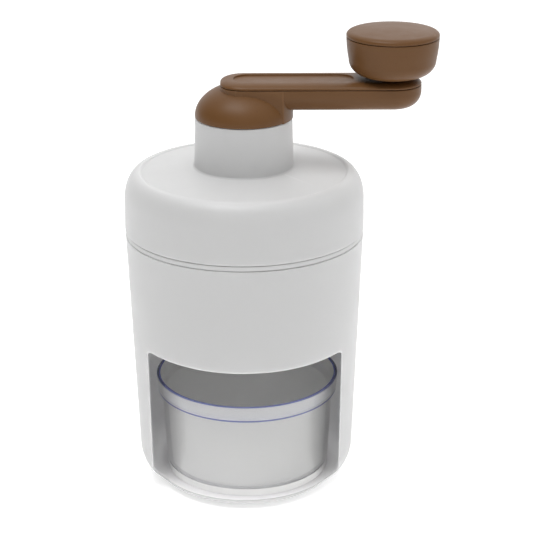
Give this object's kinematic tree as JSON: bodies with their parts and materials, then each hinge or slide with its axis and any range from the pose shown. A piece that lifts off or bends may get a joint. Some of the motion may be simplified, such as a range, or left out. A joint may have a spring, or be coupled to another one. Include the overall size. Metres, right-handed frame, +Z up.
{
  "type": "hand-crank ice shaver",
  "caption": "Table-top hand-crank ice shaver: a round housing with a window and clear bowl, a lift-off lid with a neck, and a turning crank arm with a free-spinning knob.",
  "frame": {"origin": "middle of the base pad's underside, on the housing's axis", "axes": "+Z up along the housing's axis, -Y towards the window, +X along the crank's arm at rest"},
  "size_m": [0.1554, 0.12, 0.2375],
  "materials": {
    "white_plastic": "fine satin moulded white plastic",
    "inner_plastic": "satin light grey-white moulded plastic",
    "brown_plastic": "satin warm brown moulded plastic",
    "clear_plastic": "polished clear plastic with faintly blue-violet edges",
    "nylon": "natural off-white nylon",
    "grey_rubber": "soft matte rubber",
    "blade_steel": "ground stainless steel",
    "steel": "zinc-plated steel"
  },
  "bodies": {
    "housing": {"body_shell": "white_plastic", "base_pad": "grey_rubber", "hopper": "inner_plastic", "blade": "blade_steel", "blade_clamp": "steel", "blade_screw_1": "steel", "blade_screw_2": "steel"},
    "bowl": {"bowl": "clear_plastic"},
    "seal": {"lid_seal": "grey_rubber"},
    "lid": {"lid_shell": "white_plastic", "inner_lid": "inner_plastic", "neck_bush": "nylon", "lid_screw_1": "steel", "lid_screw_2": "steel", "lid_screw_3": "steel"},
    "crank": {"crank_arm": "brown_plastic", "arm_cover": "brown_plastic", "drive_sleeve": "nylon", "hub_screw_1": "steel", "hub_screw_2": "steel", "hub_screw_3": "steel", "retaining_ring": "steel", "feed_spring": "steel", "knob_pin": "steel", "pin_screw": "steel", "knob_washer": "steel", "knob_screw": "steel"},
    "pusher": {"pusher_shaft": "nylon", "pusher_plate": "nylon", "pusher_screw": "steel"},
    "knob": {"knob_body": "brown_plastic", "knob_cap": "brown_plastic"}
  },
  "joints": [
    {"name": "bowl_pull", "type": "slide", "parent": "housing", "child": "bowl", "axis": [0, -1, 0], "range_m": [0, 0.115]},
    {"name": "lid_lift", "type": "slide", "parent": "housing", "child": "seal", "axis": [0, 0, 1], "range_m": [0, 0.08]},
    {"name": "lid_turn", "type": "hinge", "parent": "seal", "child": "lid", "pos_m": [0, 0, 0.137], "axis": [0, 0, -1], "range_deg": [0, 36]},
    {"name": "crank_turn", "type": "hinge", "parent": "lid", "child": "crank", "pos_m": [0, 0, 0.1938], "axis": [0, 0, 1], "continuous": true},
    {"name": "pusher_feed", "type": "slide", "parent": "crank", "child": "pusher", "axis": [0, 0, 1], "range_m": [0, 0.038], "stiffness_N_per_m": 300, "springref_m": -0.02, "deforming": ["feed_spring"]},
    {"name": "knob_spin", "type": "hinge", "parent": "crank", "child": "knob", "pos_m": [0.0727, 0, 0.2143], "axis": [0, 0, 1], "continuous": true}
  ]
}
